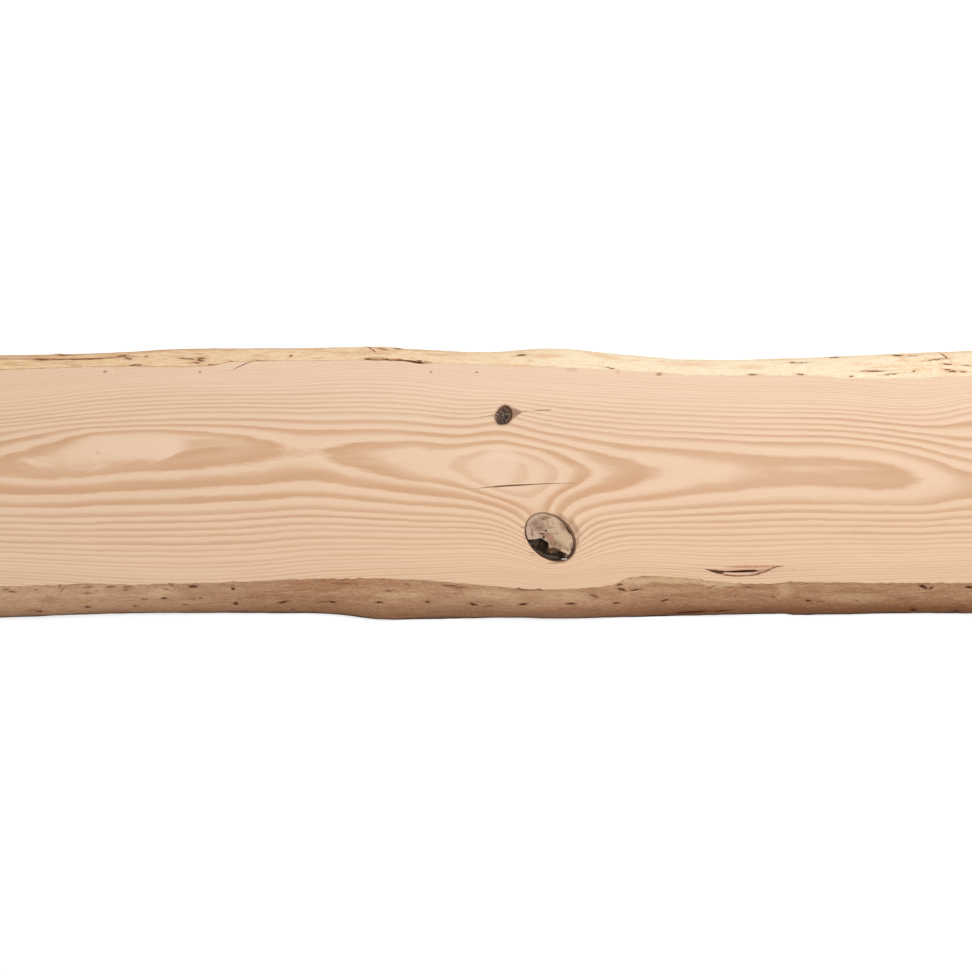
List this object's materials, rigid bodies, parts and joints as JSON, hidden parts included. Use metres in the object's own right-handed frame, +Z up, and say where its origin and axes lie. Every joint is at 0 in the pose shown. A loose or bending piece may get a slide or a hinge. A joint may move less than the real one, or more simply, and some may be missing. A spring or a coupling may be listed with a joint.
{
  "type": "timber plank",
  "caption": "Live-edge softwood plank, sawn flat on its two faces, with waney log edges on both long sides, a dead knot and square-cut ends.",
  "frame": {"origin": "centre of the lower sawn face's bounding rectangle, on the face itself", "axes": "+X along the grain, +Y towards the edge with the narrower wane, +Z up out of the upper, narrower sawn face"},
  "size_m": [1.2, 0.2774, 0.04],
  "materials": {
    "softwood": "sanded bare wood, debarked edges"
  },
  "bodies": {
    "root": {"plank": "softwood"}
  },
  "joints": []
}
